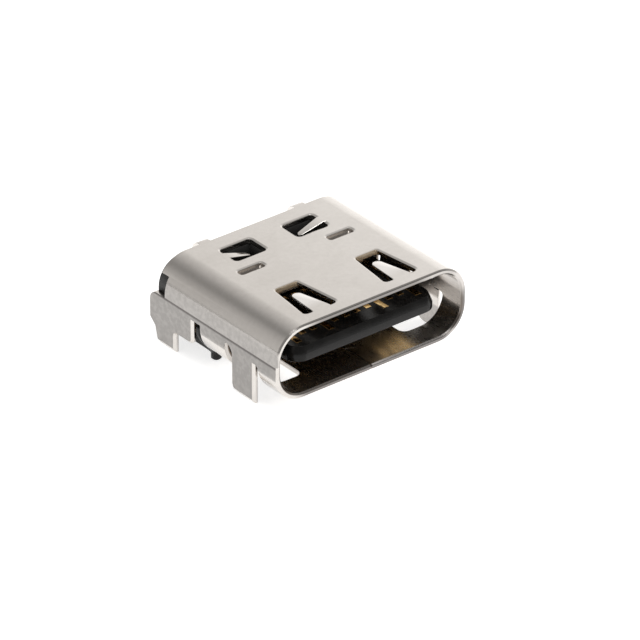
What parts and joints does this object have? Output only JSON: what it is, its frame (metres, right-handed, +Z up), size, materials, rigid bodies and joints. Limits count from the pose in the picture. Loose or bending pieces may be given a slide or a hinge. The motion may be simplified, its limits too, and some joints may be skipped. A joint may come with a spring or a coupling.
{
  "type": "usb-c socket",
  "caption": "Board-mount USB-C receptacle: folded plated shell with spring windows and solder legs around a black tongue with gold contacts.",
  "frame": {"origin": "bottom centre of the part, level with the ends of the solder legs", "axes": "+X across the mouth, -Y out of the mouth towards the plug, +Z up from the board"},
  "size_m": [0.0088, 0.0078, 0.0034],
  "materials": {
    "plated_steel": "satin nickel plate",
    "black_plastic": "moulded black",
    "gold_plated": "gold plate",
    "plate_steel": "stamped steel"
  },
  "bodies": {
    "root": {"shell": "plated_steel", "housing": "black_plastic", "upper_wafer": "black_plastic", "lower_wafer": "black_plastic", "mid_plate": "plate_steel", "upper_ground_pad": "plate_steel", "lower_ground_pad": "plate_steel", "contact_a01": "gold_plated", "contact_a02": "gold_plated", "contact_a03": "gold_plated", "contact_a04": "gold_plated", "contact_a05": "gold_plated", "contact_a06": "gold_plated", "contact_a07": "gold_plated", "contact_a08": "gold_plated", "contact_a09": "gold_plated", "contact_a10": "gold_plated", "contact_a11": "gold_plated", "contact_a12": "gold_plated", "contact_b01": "gold_plated", "contact_b02": "gold_plated", "contact_b03": "gold_plated", "contact_b04": "gold_plated", "contact_b05": "gold_plated", "contact_b06": "gold_plated", "contact_b07": "gold_plated", "contact_b08": "gold_plated", "contact_b09": "gold_plated", "contact_b10": "gold_plated", "contact_b11": "gold_plated", "contact_b12": "gold_plated"}
  },
  "joints": []
}
